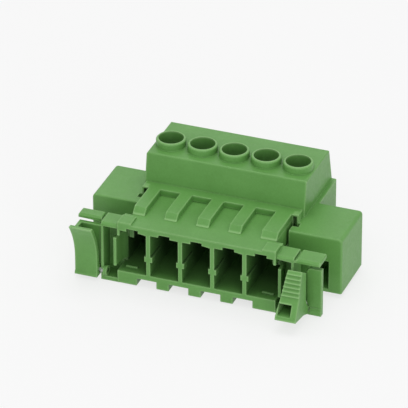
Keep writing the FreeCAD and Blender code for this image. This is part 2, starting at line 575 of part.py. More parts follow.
def build_terminal_housing():
    """Rear moulding: base, shoulders, chimney block, comb and clamp cells."""
    body = new_body("terminal_housing")
    sides = (SHOULDER_LEFT, SHOULDER_RIGHT)
    pad(body, "shoulders", "XY", (D["shoulder_low"], D["base_height"]),
        box_outline(*sides, SHOULDER_FRONT, SHOULDER_BACK))
    doc.recompute()
    upper_edges = [name for x in sides for name in edges_at(body, x=x, z=D["base_height"])]
    dress(body, "Fillet", "shoulder_sides", upper_edges, D["shoulder_round"])
    doc.recompute()
    rims = [name for y in (SHOULDER_FRONT, SHOULDER_BACK) for name in edges_at(body, y=y)
            if name not in edges_at(body, y=y, z=D["shoulder_low"])]
    dress(body, "Fillet", "shoulder_edges", rims, D["edge_round"])
    pad(body, "base", "XY", (ZERO, D["base_height"]),
        box_outline(-BASE_HALF, BASE_HALF, SHOULDER_FRONT + D["edge_round"] * 2, D["base_back"]))
    doc.recompute()
    corners = [name for x in (-BASE_HALF, BASE_HALF) for name in edges_at(body, x=x, y=D["base_back"])]
    dress(body, "Fillet", "base_corners", corners, D["edge_round"])
    side, play = SHELL_HALF + D["seat_play"], D["seat_play"]
    upper = REBATE_HALF + play
    level = REBATE_LEVEL + play
    recess = [(-side, D["shell_bottom"] - play), (side, D["shell_bottom"] - play), (side, level),
              (upper, level), (upper, SHELL_TOP), (-upper, SHELL_TOP), (-upper, level), (-side, level)]
    pocket(body, "header_recess", "XZ", (SHOULDER_FRONT, RECESS_BACK), recess)
    block_half = ROW_END + D["block_margin"]
    pad(body, "chimney_block", "YZ", (-block_half, block_half), block_outline())
    doc.recompute()
    dress(body, "Fillet", "block_edges", edges_at(body, z=D["block_top"]), D["edge_round"])
    bar_half = ROW_END - D["bar_end"]
    bar_top = SHELL_TOP + D["tooth_height"]
    bar = [(-bar_half, D["base_height"]), (-upper, D["base_height"]), (-upper, SHELL_TOP),
           (upper, SHELL_TOP), (upper, D["base_height"]), (bar_half, D["base_height"]),
           (bar_half, bar_top), (-bar_half, bar_top)]
    pad(body, "cross_bar", "XZ", (BAR_FRONT, BAR_FRONT + D["bar_depth"]), bar)
    for index, span in enumerate(tooth_spans(), start=1):
        pad(body, "tooth_%d" % index, "YZ", span, tooth_outline())
    pits = [box_outline(left, right, BAR_FRONT - D["pit_length"], BAR_FRONT)
            for left, right in both_sides(REBATE_HALF, REBATE_HALF + D["pit_width"])]
    pit_low = D["base_height"] - D["pit_depth"]
    pocket(body, "pits", "XY", (pit_low, D["base_height"]), *pits)
    slits = [box_outline(left, right, SHOULDER_FRONT, BAR_FRONT - D["pit_length"])
             for left, right in both_sides(REBATE_HALF, REBATE_HALF + D["slit_width"])]
    pocket(body, "slits", "XY", (pit_low, D["base_height"]), *slits)
    hollows = [box_outline(left, right, pit_low, bar_top - D["bar_skin"])
               for left, right in both_sides(upper + play, bar_half - D["bar_skin"])]
    pocket(body, "bar_ends", "XZ", (BAR_FRONT, BAR_FRONT + D["bar_depth"] * 0.6), *hollows)
    pockets = [box_outline(left, right, D["pocket_low"], D["pocket_low"] + D["pocket_height"])
               for left, right in both_sides(FRAME_OUT, ROW_END + D["pocket_reach"])]
    pocket(body, "latch_pockets", "XZ", (SHOULDER_FRONT, SHOULDER_FRONT + D["pocket_depth"]), *pockets)
    axes = [(pole_x(pole), ZERO) for pole in range(POLES)]
    pad(body, "chimneys", "XY", (D["base_height"], RIM),
        circles=[(axis, D["chimney_radius"]) for axis in axes])
    doc.recompute()
    dress(body, "Chamfer", "rim_bevels", circles_at(body, RIM), D["rim_bevel"])
    cell_half, room = D["cell_width"] / 2, D["cell_depth"] / 2
    pocket(body, "clamp_cells", "XY", (D["cell_low"], CELL_TOP),
           *[box_outline(x - cell_half, x + cell_half, -room, room) for x, _ in axes])
    door_top = D["cage_low"] + D["cage_floor"] + D["cage_room"] + D["cage_top"] + D["seat_play"]
    pocket(body, "cell_doors", "XZ", (RECESS_BACK, -room),
           *[box_outline(x - cell_half, x + cell_half, D["cell_low"], door_top) for x, _ in axes])
    pocket(body, "screw_holes", "XY", (CELL_TOP, HEAD_SEAT),
           circles=[(axis, D["screw_radius"] + D["shank_play"]) for axis in axes])
    pocket(body, "head_bores", "XY", (HEAD_SEAT, GUIDE_LOW),
           circles=[(axis, D["head_bore"]) for axis in axes])
    pocket(body, "guide_bores", "XY", (GUIDE_LOW, RIM),
           circles=[(axis, D["guide_radius"]) for axis in axes])
    entry_half = D["entry_width"] / 2
    entry_top = D["entry_low"] + D["entry_height"]
    pocket(body, "wire_entries", "XZ", (room, D["base_back"]),
           *[box_outline(x - entry_half, x + entry_half, D["entry_low"], entry_top) for x, _ in axes])
    doc.recompute()
    rims = []
    for x, _ in axes:
        rims += edges_at(body, y=D["base_back"], x=x - entry_half)
        rims += edges_at(body, y=D["base_back"], x=x + entry_half)
    rims += [name for z in (D["entry_low"], entry_top)
             for name in edges_at(body, y=D["base_back"], z=z)]
    dress(body, "Chamfer", "entry_bevels", rims, D["entry_flare"])
    return body


def build_contact(pole):
    """Pin and current bar, stamped from one strip."""
    body = new_body("contact_%d" % (pole + 1))
    wide, slim = D["bar_width"] / 2, D["pin_width"] / 2
    step = SHELL_BACK + D["slot_play"]
    tip = CHAMBER_BACK - D["pin_length"]
    point = slim - D["pin_taper"] / 3
    outline = [(-wide, D["bar_tail"]), (-wide, step), (-slim, step), (-slim, tip + D["pin_taper"]),
               (-point, tip), (point, tip), (slim, tip + D["pin_taper"]), (slim, step),
               (wide, step), (wide, D["bar_tail"])]
    pad(body, "strip", "XY", (D["bar_low"], BAR_TOP), outline)
    move_along_row(body, pole)
    doc.recompute()
    ends = [name for z in (D["bar_low"], BAR_TOP) for name in edges_at(body, y=tip, z=z)]
    dress(body, "Chamfer", "tip_bevels", ends, D["bar_thick"] / 4)
    return body


def build_cage(pole):
    """Clamp cage: a folded loop that the screw lifts towards the current bar."""
    body = new_body("clamp_cage_%d" % (pole + 1))
    half = D["cage_width"] / 2
    room_half = half - D["cage_wall"]
    floor = D["cage_low"] + D["cage_floor"]
    ceiling = floor + D["cage_room"]
    top = ceiling + D["cage_top"]
    depth = (-D["cage_depth"] / 2, D["cage_depth"] / 2)
    pad(body, "loop", "XZ", depth, box_outline(-half, half, D["cage_low"], top),
        box_outline(-room_half, room_half, floor, ceiling))
    move_along_row(body, pole)
    doc.recompute()
    bends = [name for x in (-half, half) for z in (D["cage_low"], top)
             for name in edges_at(body, x=x, z=z)]
    dress(body, "Chamfer", "bends", bends, D["cage_bend"])
    pocket(body, "thread_bore", "XY", (ceiling, top),
           circles=[((ZERO, ZERO), D["screw_radius"] + D["thread_play"])])
    return body


def build_screw(pole):
    """Slotted clamp screw, turned as one profile about its axis."""
    body = new_body("clamp_screw_%d" % (pole + 1))
    low = HEAD_SEAT + D["screw_play"]
    tip = BAR_TOP + D["screw_play"]
    shank, head, bevel = D["screw_radius"], D["head_radius"], D["head_bevel"]
    outline = [(ZERO, tip), (shank - D["tip_bevel"], tip), (shank, tip + D["tip_bevel"]), (shank, low),
               (head, low), (head, HEAD_TOP - bevel), (head - bevel, HEAD_TOP), (ZERO, HEAD_TOP)]
    sketch = new_sketch(body, "profile", "XZ", ZERO)
    draw_loop(sketch, outline)
    turned = body.newObject("PartDesign::Revolution", "turned")
    turned.Profile = sketch
    turned.ReferenceAxis = (sketch, ["V_Axis"])
    turned.Angle = 360
    half = D["slot_width"] / 2
    pocket(body, "slot", "XY", (HEAD_TOP - D["slot_depth"], HEAD_TOP),
           box_outline(-half, half, -head * 2, head * 2))
    move_along_row(body, pole)
    return body


def build_hinge_pin(name, side, y, z, reach):
    """Plain steel pin from the end frame's boss through the foot of a latch."""
    body = new_body("latch_pin_" + name)
    root = FRAME_OUT - D["frame_wall"] - D["boss_length"]
    ends = sorted([root * side, reach * side], key=number)
    pad(body, "rod", "YZ", tuple(ends), circles=[((y, z), D["pin_radius"])])
    return body


def clip_front():
    """Front of the left latch from its foot to its top, points (y, z)."""
    foot, lip, flare = D["clip_foot"], D["clip_lip"], D["clip_flare"]
    straight = 0.28
    points = [(CLIP_FRONT - lip, foot), (CLIP_FRONT - lip, foot + lip), (CLIP_FRONT, foot + lip * 2.5)]
    for step in range(LEVER_STEPS + 1):
        share = step / LEVER_STEPS
        height = straight + (1 - straight) * share
        points.append((CLIP_FRONT - flare * share ** 2.1, foot + D["clip_lever"] * height))
    return points


def build_clip():
    """Left latch: a smooth lever and a rear leg, joined by a foot and a side wall."""
    body = new_body("latch_left")
    inner = ROW_END + D["clip_inner"]
    outer = inner + D["clip_width"]
    leg, foot = D["clip_leg"], D["clip_foot"]
    root = foot + D["clip_block"]
    rear_top = D["frame_top"] - D["frame_plate"] - D["clip_gap"]
    front = clip_front()
    inside = [(y + leg, z) for y, z in front[:2:-1]]
    valley = [(CLIP_FRONT + leg, root), (CLIP_BACK - leg, root)]
    rear = [(CLIP_BACK - leg, rear_top), (CLIP_BACK, rear_top), (CLIP_BACK, foot)]
    pad(body, "lever", "YZ", (-outer, -inner), front + inside + valley + rear)
    crown = [(front[-1][0] + leg, front[-1][1]), (FRAME_FRONT - D["clip_relief"], rear_top)]
    pad(body, "side_wall", "YZ", (-outer, -(outer - D["clip_web"])), front + crown + rear[1:])
    doc.recompute()
    dress(body, "Fillet", "heel_round", edges_at(body, y=CLIP_BACK, z=foot), leg)
    bore = D["pin_radius"] + D["hinge_play"]
    pocket(body, "hinge_bore", "YZ", (-outer, -inner), circles=[((CLIP_PIN_Y, CLIP_PIN_Z), bore)])
    return body


def grip_crest(share):
    """Point (y, z) on the front of the right lever, 0 at its knee and 1 at its top."""
    foot = FRONT - D["grip_front"]
    return (D["crest_back"] * share + foot + D["knee_back"],
            D["crest_rise"] * share + D["grip_low"] + D["knee_rise"])


def build_grip():
    """Right latch: ridged lever with a hollow foot, an arm to its hinge and a rear tab."""
    body = new_body("latch_right")
    inner = ROW_END + D["grip_inner"]
    outer = inner + D["grip_width"]
    foot = (FRONT - D["grip_front"], D["grip_low"])
    knee, top = grip_crest(0), grip_crest(1)
    rear = FRAME_FRONT - D["grip_clear"]
    arm_start = (rear - D["arm_front"], D["grip_low"] - D["grip_wall"])
    arm_top = arm_start[1] + D["arm_rise"]
    profile = [foot, knee, top, (rear, top[1] - D["grip_slant"]), (rear, arm_start[1]), arm_start]
    pad(body, "lever", "YZ", (inner, outer), profile)
    arm_inner = FRAME_OUT + D["roof_gap"] / 2
    heel_low, heel_top = D["heel_low"], D["heel_low"] + D["heel_height"]
    bend = HEEL_PIN_Y - D["heel_depth"] / 2
    arm = [arm_start, (arm_start[0], arm_top), (rear, arm_top), (bend, heel_top + D["grip_wall"]),
           (HEEL_BACK, heel_top), (HEEL_BACK, heel_low), (bend, heel_low + D["grip_wall"])]
    pad(body, "arm", "YZ", (arm_inner, outer), arm)
    tab_inner = ROW_END + D["tab_inner"]
    tab_outer = tab_inner + D["tab_width"]
    strip = box_outline(HEEL_BACK - D["heel_depth"], HEEL_BACK, heel_low, heel_top)
    pad(body, "strip", "YZ", (outer - D["grip_wall"], tab_outer), strip)
    cut, rise = D["tab_cut"], D["tab_cut_rise"]
    tab = [(tab_inner + cut, D["tab_height"]), (tab_outer, D["tab_height"]), (tab_outer, heel_low),
           (tab_inner + cut, heel_low), (tab_inner + cut, heel_top), (tab_inner, heel_top + rise),
           (tab_inner, D["tab_height"] - rise)]
    pad(body, "tab", "XZ", (HEEL_BACK - D["tab_thick"], HEEL_BACK), tab)
    for ridge in range(RIDGES):
        low, high = grip_crest(ridge / RIDGES), grip_crest((ridge + 0.6) / RIDGES)
        crest = (low[0] - D["ridge_rise"], low[1])
        pad(body, "ridge_%d" % (ridge + 1), "YZ", (inner, outer), [low, high, crest])
    slack = D["ridge_rise"] * 2
    cut = [(inner - slack, top[1] + slack), (inner + D["grip_taper"], top[1] + slack),
           (inner, foot[1] + slack), (inner - slack, foot[1] + slack)]
    pocket(body, "side_taper", "XZ", (foot[0] - slack, rear), cut)
    hollow_low = foot[1] + D["grip_wall"]
    hollow = box_outline(inner + D["grip_wall"] / 2, outer - D["hollow_wall"], hollow_low,
                         hollow_low + D["hollow_height"])
    pocket(body, "hollow", "XZ", (foot[0] - slack, rear - D["grip_wall"]), hollow)
    doc.recompute()
    upright = edges_at(body, x=tab_inner, y=HEEL_BACK - D["tab_thick"])
    dress(body, "Chamfer", "tab_bevel", upright, D["tab_bevel"])
    bore = D["pin_radius"] + D["hinge_play"]
    pocket(body, "hinge_bore", "YZ", (arm_inner, tab_outer), circles=[((HEEL_PIN_Y, HEEL_PIN_Z), bore)])
    return body


def check_features():
    """Stop if a feature failed, or if a cut took nothing away."""
    for item in doc.Objects:
        if "Invalid" in item.State or "Error" in item.State:
            raise RuntimeError("%s failed: %s" % (item.Name, item.State))
        if item.TypeId == "PartDesign::Pocket":
            removed = item.BaseFeature.Shape.Volume - item.Shape.Volume
            if removed < 0.001:
                raise RuntimeError("%s in %s cuts nothing" % (item.Name, item.getParent().Label))


def main():
    build_header_shell()
    build_terminal_housing()
    for pole in range(POLES):
        build_contact(pole)
        build_cage(pole)
        build_screw(pole)
    clip_reach = ROW_END + D["clip_inner"] + D["clip_width"]
    build_hinge_pin("left", -1, CLIP_PIN_Y, CLIP_PIN_Z, clip_reach)
    arm_reach = ROW_END + D["grip_inner"] + D["grip_width"]
    build_hinge_pin("right", 1, HEEL_PIN_Y, HEEL_PIN_Z, arm_reach)
    build_clip()
    build_grip()
    doc.recompute()
    check_features()
    os.makedirs("parts", exist_ok=True)
    for body in BODIES:
        shape = body.Shape
        if shape.isNull() or not shape.isValid() or len(shape.Solids) != 1:
            raise RuntimeError("%s is not one valid solid" % body.Label)
        print("%-18s volume %9.3f" % (body.Label, shape.Volume))
        shape.exportStep("parts/%s.step" % body.Label)


main()
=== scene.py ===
import logging
import math
from dataclasses import dataclass, field
from enum import Enum

import bmesh
import bpy
from mathutils import Euler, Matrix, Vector
from mathutils.geometry import intersect_point_line


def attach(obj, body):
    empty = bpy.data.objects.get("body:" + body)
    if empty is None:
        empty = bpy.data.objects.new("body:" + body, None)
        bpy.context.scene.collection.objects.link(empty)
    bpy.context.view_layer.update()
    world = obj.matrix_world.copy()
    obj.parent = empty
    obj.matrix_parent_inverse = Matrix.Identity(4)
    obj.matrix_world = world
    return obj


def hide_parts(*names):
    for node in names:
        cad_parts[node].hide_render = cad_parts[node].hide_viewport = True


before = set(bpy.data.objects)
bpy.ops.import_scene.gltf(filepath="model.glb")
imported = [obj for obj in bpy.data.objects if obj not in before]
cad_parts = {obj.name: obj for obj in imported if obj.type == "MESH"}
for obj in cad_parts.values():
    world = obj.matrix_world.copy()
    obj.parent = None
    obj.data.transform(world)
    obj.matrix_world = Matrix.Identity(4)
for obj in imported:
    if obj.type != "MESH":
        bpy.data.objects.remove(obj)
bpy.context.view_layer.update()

LOG = logging.getLogger("terminal_block")
MM = 0.001
POLES = 5
PITCH = 7.62 * MM
Colour = tuple[float, float, float]


class Slot(Enum):
    """The record's material slots that the finishes stand for."""

    GREEN_PLASTIC = "green_plastic"
    TINNED_BRASS = "tinned_brass"
    ZINC_STEEL = "zinc_steel"
    STEEL = "steel"


class Side(Enum):
    """The block's two ends."""

    LEFT = "left"
    RIGHT = "right"


def linear(red: int, green: int, blue: int) -> Colour:
    """Turn screen values from 0 to 255 into linear light, by the sRGB curve.

    Args:
        red: Red value.
        green: Green value.
        blue: Blue value.

    Returns:
        The three linear values.
    """
    def one(value: int) -> float:
        """Turn one screen value into linear light."""
        share = value / 255
        return share / 12.92 if share <= 0.04045 else ((share + 0.055) / 1.055) ** 2.4

    return one(red), one(green), one(blue)


class Graph:
    """A material's node tree, with short calls to add and join nodes."""

    def __init__(self, name: str) -> None:
        """Make an empty material with an output node.

        Args:
            name: Name of the material.
        """
        self.material = bpy.data.materials.new(name)
        self.material.use_nodes = True
        self.tree = self.material.node_tree
        self.tree.nodes.clear()
        self.output = self.add("ShaderNodeOutputMaterial")

    def add(self, kind: str, inputs: dict | None = None,
            **settings: object) -> bpy.types.Node:
        """Add a node.

        Args:
            kind: Blender's type name of the node.
            inputs: Values or sockets for its inputs, by name or number.
            settings: Its own settings.

        Returns:
            The new node.
        """
        node = self.tree.nodes.new(kind)
        for name, value in settings.items():
            setattr(node, name, value)
        for name, value in (inputs or {}).items():
            if isinstance(value, bpy.types.NodeSocket):
                self.tree.links.new(value, node.inputs[name])
            else:
                node.inputs[name].default_value = value
        return node

    def maths(self, operation: str, *values: object) -> bpy.types.NodeSocket:
        """Add a Math node and return its result.

        Args:
            operation: The sum to do.
            values: Numbers or sockets.

        Returns:
            The result socket.
        """
        node = self.add("ShaderNodeMath", dict(enumerate(values)), operation=operation)
        return node.outputs[0]

    def noise(self, place: bpy.types.NodeSocket, scale: float,
              detail: float = 3.0) -> bpy.types.NodeSocket:
        """Add a noise texture.

        Args:
            place: Coordinates in metres.
            scale: Grains per metre.
            detail: Octaves of finer noise.

        Returns:
            The noise value from 0 to 1.
        """
        node = self.add("ShaderNodeTexNoise", {"Vector": place, "Scale": scale, "Detail": detail})
        return node.outputs["Fac"]

    def spread(self, value: bpy.types.NodeSocket, low: float, high: float,
               start: float = 0.3, end: float = 0.7) -> bpy.types.NodeSocket:
        """Map a value from start..end to low..high.

        Args:
            value: The value to map.
            low: Result at start.
            high: Result at end.
            start: Lower end of the value.
            end: Upper end of the value.

        Returns:
            The mapped value.
        """
        ranges = {"Value": value, "From Min": start, "From Max": end,
                  "To Min": low, "To Max": high}
        return self.add("ShaderNodeMapRange", ranges).outputs["Result"]

    def mix(self, share: object, first: Colour, second: Colour) -> bpy.types.NodeSocket:
        """Mix two colours.

        Args:
            share: Share of the second colour.
            first: Linear colour or socket.
            second: Linear colour or socket.

        Returns:
            The mixed colour.
        """
        node = self.add("ShaderNodeMix", {0: share}, data_type="RGBA")
        for index, colour in ((6, first), (7, second)):
            if isinstance(colour, bpy.types.NodeSocket):
                self.tree.links.new(colour, node.inputs[index])
            else:
                node.inputs[index].default_value = (*colour, 1.0)
        return node.outputs[2]

    def place(self) -> bpy.types.NodeSocket:
        """Object coordinates, which are the part's own metres."""
        return self.add("ShaderNodeTexCoord").outputs["Object"]

    def bump(self, height: bpy.types.NodeSocket, depth: float, strength: float,
             under: bpy.types.NodeSocket | None = None) -> bpy.types.NodeSocket:
        """Turn a height into a bent normal.

        Args:
            height: Height from 0 to 1.
            depth: Metres that 1 stands for.
            strength: Share of the effect.
            under: Normal to start from.

        Returns:
            The normal.
        """
        inputs = {"Height": height, "Distance": depth, "Strength": strength}
        if under is not None:
            inputs["Normal"] = under
        return self.add("ShaderNodeBump", inputs).outputs["Normal"]

    def finish(self, shader: bpy.types.Node) -> bpy.types.Material:
        """Join a shader to the output and return the material."""
        self.tree.links.new(shader.outputs[0], self.output.inputs["Surface"])
        return self.material


@dataclass(frozen=True)
class MouldedPlastic:
    """Matte green polyamide: fine grain, flow marks, a painted highlight on the outer edges and
    painted shade in the recesses.
    """

    name: str = "green_polyamide"
    slot: Slot = Slot.GREEN_PLASTIC
    colour: Colour = linear(106, 163, 84)
    deep: Colour = linear(93, 149, 71)
    # Painted highlight: a lighter green mixed onto the outer edges, standing in for their
    # highlights.
    edge_highlight: Colour = linear(143, 190, 122)
    # Painted shade: a near-black green mixed into closed-in places, standing in for their shadow.
    painted_shade: Colour = linear(18, 38, 20)
    roughness: float = 0.44
    smoother: float = 0.05
    rougher: float = 0.06
    refraction: float = 1.5
    specular: float = 0.45
    flow_scale: float = 160.0
    flow_share: float = 0.6
    speckle_finer: float = 16.0
    speckle_share: float = 0.4
    grain_scale: float = 9000.0
    grain_coarser: float = 6.0
    grain_depth: float = 0.012 * MM
    grain_strength: float = 0.35
    soft_edge: float = 0.22 * MM
    edge_samples: int = 6
    edge_reach: float = 0.5 * MM
    edge_share: float = 0.9
    edge_range: tuple[float, float] = (0.45, 0.9)
    recess_reach: float = 10.0 * MM
    recess_samples: int = 8
    recess_open: float = 0.78
    recess_least: float = 0.3
    rear_range: tuple[float, float] = (-14.0 * MM, -9.0 * MM)
    row_range: tuple[float, float] = (18.2 * MM, 19.2 * MM)

    def material(self) -> bpy.types.Material:
        """Build the material when it isn't there yet.

        Returns:
            The material.
        """
        if self.name in bpy.data.materials:
            return bpy.data.materials[self.name]
        graph = Graph(self.name)
        place = graph.place()
        bevel = graph.add("ShaderNodeBevel", {"Radius": self.soft_edge},
                          samples=self.edge_samples)
        colour = self._tint(graph, place)
        fine = graph.noise(place, self.grain_scale, 4.0)
        coarse = graph.noise(place, self.grain_scale / self.grain_coarser, 2.0)
        normal = graph.bump(graph.maths("ADD", fine, coarse), self.grain_depth,
                            self.grain_strength, bevel.outputs["Normal"])
        rough = graph.spread(coarse, self.roughness - self.smoother,
                             self.roughness + self.rougher)
        shader = graph.add("ShaderNodeBsdfPrincipled", {
            "Base Color": colour, "Roughness": rough, "Normal": normal,
            "IOR": self.refraction, "Specular IOR Level": self.specular})
        return graph.finish(shader)

    def _tint(self, graph: Graph, place: bpy.types.NodeSocket) -> bpy.types.NodeSocket:
        """Mix the flow marks, a painted highlight on the outer edges and painted shade in the
        recesses.

        Args:
            graph: The material being built.
            place: Coordinates in metres.

        Returns:
            The colour.
        """
        marks = graph.noise(place, self.flow_scale)
        speckle = graph.noise(place, self.flow_scale * self.speckle_finer, 2.0)
        blend = graph.maths("ADD", graph.maths("MULTIPLY", marks, self.flow_share),
                            graph.maths("MULTIPLY", speckle, self.speckle_share))
        skin = graph.mix(graph.spread(blend, 0.0, 1.0), self.deep, self.colour)
        # Painted highlight on convex edges, found by ambient occlusion inside the solid.
        solid = graph.add("ShaderNodeAmbientOcclusion", {"Distance": self.edge_reach},
                          samples=self.edge_samples, inside=True)
        edge = graph.spread(solid.outputs["AO"], self.edge_share, 0.0, *self.edge_range)
        highlighted = graph.mix(edge, skin, self.edge_highlight)
        # Painted shade in the recesses goes on top of the painted edge highlight.
        return graph.mix(self._painted_shade_share(graph, place), highlighted, self.painted_shade)

    def _painted_shade_share(self, graph: Graph, place: bpy.types.NodeSocket) -> bpy.types.NodeSocket:
        """Find the share of painted shade: how closed in a place is, counted most in the chambers
        of the row and less towards the back.

        Args:
            graph: The material being built.
            place: Coordinates in metres.

        Returns:
            The share of the recess colour.
        """
        # Painted shade: ambient occlusion, scaled down outside the row and towards the back.
        open_sky = graph.add("ShaderNodeAmbientOcclusion", {"Distance": self.recess_reach},
                             samples=self.recess_samples, only_local=True)
        closed = graph.spread(open_sky.outputs["AO"], 1.0, 0.0, 0.0, self.recess_open)
        parts = graph.add("ShaderNodeSeparateXYZ", {0: place}).outputs
        across = graph.maths("ABSOLUTE", parts["X"])
        row = graph.spread(across, 1.0, self.recess_least, *self.row_range)
        rear = graph.spread(parts["Y"], 1.0, self.recess_least, *self.rear_range)
        return graph.maths("MULTIPLY", closed, graph.maths("MULTIPLY", row, rear))


@dataclass(frozen=True)
class PlatedMetal:
    """Plated or turned metal with light stains and a fine grain or turning marks."""

    name: str
    slot: Slot
    colour: Colour
    stain: Colour
    roughness: float = 0.32
    grain: tuple[float, float, float] = (4000.0, 300.0, 4000.0)
    turned: bool = False
    stain_scale: float = 900.0
    grain_depth: float = 0.008 * MM
    grain_strength: float = 0.5
    smoother: float = 0.06
    rougher: float = 0.1
    ring_spacing: float = 0.09 * MM

    def material(self) -> bpy.types.Material:
        """Build the material when it isn't there yet.

        Returns:
            The material.
        """
        if self.name in bpy.data.materials:
            return bpy.data.materials[self.name]
        graph = Graph(self.name)
        place = graph.place()
        cloud = graph.spread(graph.noise(place, self.stain_scale), 0.0, 1.0)
        colour = graph.mix(cloud, self.stain, self.colour)
        if self.turned:
            height = self._rings(graph, place)
        else:
            stretched = graph.add("ShaderNodeMapping", {"Vector": place, "Scale": self.grain})
            height = graph.noise(stretched.outputs[0], 1.0, 4.0)
        normal = graph.bump(height, self.grain_depth, self.grain_strength)
        rough = graph.spread(height, self.roughness - self.smoother,
                             self.roughness + self.rougher)
        shader = graph.add("ShaderNodeBsdfPrincipled", {
            "Base Color": colour, "Metallic": 1.0, "Roughness": rough, "Normal": normal})
        return graph.finish(shader)

    def _rings(self, graph: Graph, place: bpy.types.NodeSocket) -> bpy.types.NodeSocket:
        """Turning marks in rings about every pole's axis.

        Args:
            graph: The material being built.
            place: Coordinates in metres.

        Returns:
            The height of the marks.
        """
        parts = graph.add("ShaderNodeSeparateXYZ", {0: place}).outputs
        row = graph.maths("ADD", parts[0], PITCH * POLES / 2)
        across = graph.maths("SUBTRACT", graph.maths("FLOORED_MODULO", row, PITCH), PITCH / 2)
        square = graph.maths("ADD", graph.maths("MULTIPLY", across, across),
                             graph.maths("MULTIPLY", parts[1], parts[1]))
        radius = graph.maths("SQRT", square)
        turns = graph.maths("MULTIPLY", radius, 2 * math.pi / self.ring_spacing)
        return graph.spread(graph.maths("SINE", turns), 0.0, 1.0, -1.0, 1.0)


GREEN = MouldedPlastic()
TIN = PlatedMetal("tinned_brass_strip", Slot.TINNED_BRASS,
                  colour=(0.62, 0.58, 0.5), stain=(0.5, 0.46, 0.38), roughness=0.3)
ZINC = PlatedMetal("zinc_plated_strip", Slot.ZINC_STEEL,
                   colour=(0.56, 0.57, 0.58), stain=(0.42, 0.44, 0.47), roughness=0.36,
                   grain=(3000.0, 3000.0, 250.0))
TURNED = PlatedMetal("turned_steel", Slot.STEEL,
                     colour=(0.6, 0.6, 0.6), stain=(0.48, 0.48, 0.5), roughness=0.28,
                     turned=True)
Finish = MouldedPlastic | PlatedMetal


@dataclass(frozen=True)
class Rounding:
    """How far the sharp edges of a moulded or cut piece are rounded."""

    width: float = 0.14 * MM
    steps: int = 2
    sharp_angle: float = math.radians(32)
    flat_angle: float = math.radians(1)
    weld: float = 0.002 * MM
    room: float = 2.3

    def apply(self, mesh: bmesh.types.BMesh) -> None:
        """Merge the flat facets, then round each sharp edge that has room for it.

        Args:
            mesh: The mesh to change.
        """
        bmesh.ops.remove_doubles(mesh, verts=mesh.verts, dist=self.weld)
        bmesh.ops.dissolve_limit(mesh, angle_limit=self.flat_angle, verts=mesh.verts,
                                 edges=mesh.edges)
        sharp = {edge for edge in mesh.edges if self._is_sharp(edge)}
        roomy = {edge for edge in sharp if self._has_room(edge)}
        chosen = [edge for edge in roomy if self._ends_well(edge, sharp, roomy)]
        bmesh.ops.bevel(mesh, geom=chosen, offset=self.width, offset_type="OFFSET",
                        segments=self.steps, profile=0.5, affect="EDGES",
                        clamp_overlap=False, loop_slide=True)
        for face in mesh.faces:
            face.smooth = True
        for edge in mesh.edges:
            edge.smooth = not self._is_sharp(edge)

    def _is_sharp(self, edge: bmesh.types.BMEdge) -> bool:
        """Tell whether an edge joins two faces at a sharp angle."""
        return len(edge.link_faces) == 2 and edge.calc_face_angle(0.0) > self.sharp_angle

    def _has_room(self, edge: bmesh.types.BMEdge) -> bool:
        """Tell whether an edge is long enough and its faces are wide enough.

        Args:
            edge: The edge to round.

        Returns:
            True if the rounding fits on both faces.
        """
        least = self.width * self.room
        if edge.calc_length() < least:
            return False
        middle = (edge.verts[0].co + edge.verts[1].co) / 2
        for face in edge.link_faces:
            for other in face.edges:
                if set(other.verts) & set(edge.verts):
                    continue
                start, end = (vert.co for vert in other.verts)
                for point in (middle, edge.verts[0].co, edge.verts[1].co):
                    foot, share = intersect_point_line(point, start, end)
                    if 0 <= share <= 1 and (foot - point).length < least:
                        return False
        return True

    @staticmethod
    def _ends_well(edge: bmesh.types.BMEdge, sharp: set, roomy: set) -> bool:
        """Tell whether the rounding can end cleanly at both ends of an edge.

        Args:
            edge: The edge to round.
            sharp: Every sharp edge.
            roomy: The sharp edges with room for it.

        Returns:
            True if no end meets a sharp edge without room or a crossing of many edges.
        """
        for vert in edge.verts:
            meeting = [other for other in vert.link_edges if other in sharp]
            if len(meeting) > 3 or any(other not in roomy for other in meeting):
                return False
        return True


def node_mesh(node: str) -> bmesh.types.BMesh:
    """Copy the mesh of a node of the frame, in metres.

    Args:
        node: Name of the node.

    Returns:
        The copy.
    """
    mesh = bmesh.new()
    mesh.from_mesh(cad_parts[node].data)
    return mesh


def add_piece(name: str, node: str, body: str, mesh: bmesh.types.BMesh,
              finish: Finish) -> bpy.types.Object:
    """Turn a mesh into a piece that stands for a node and rides on its body.

    Args:
        name: Name of the piece.
        node: The node that it stands for.
        body: The body that it rides on.
        mesh: Its mesh, which is freed.
        finish: What it is made of.

    Returns:
        The piece.
    """
    data = bpy.data.meshes.new(name)
    mesh.to_mesh(data)
    mesh.free()
    piece = bpy.data.objects.new(name, data)
    bpy.context.scene.collection.objects.link(piece)
    data.materials.append(finish.material())
    normals = piece.modifiers.new("weighted_normals", "WEIGHTED_NORMAL")
    normals.keep_sharp = True
    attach(piece, body)
    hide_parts(node)
    return piece


def rounded_piece(name: str, node: str, body: str, rounding: Rounding,
                  finish: Finish) -> bpy.types.Object:
    """Copy a node's mesh, round its edges and make it a piece.

    Args:
        name: Name of the piece.
        node: The node that it stands for.
        body: The body that it rides on.
        rounding: How its edges are rounded.
        finish: What it is made of.

    Returns:
        The piece.
    """
    mesh = node_mesh(node)
    rounding.apply(mesh)
    return add_piece(name, node, body, mesh, finish)


@dataclass
class HeaderShell:
    """Front moulding: chambers, feet, end frames, roofs and spring tongues."""

    node: str = "header_shell"
    body: str = "housing"
    finish: MouldedPlastic = GREEN
    rounding: Rounding = Rounding(width=0.14 * MM)

    def build(self) -> list[bpy.types.Object]:
        """Round the moulding's edges and dress it."""
        return [rounded_piece("header_moulding", self.node, self.body, self.rounding,
                              self.finish)]


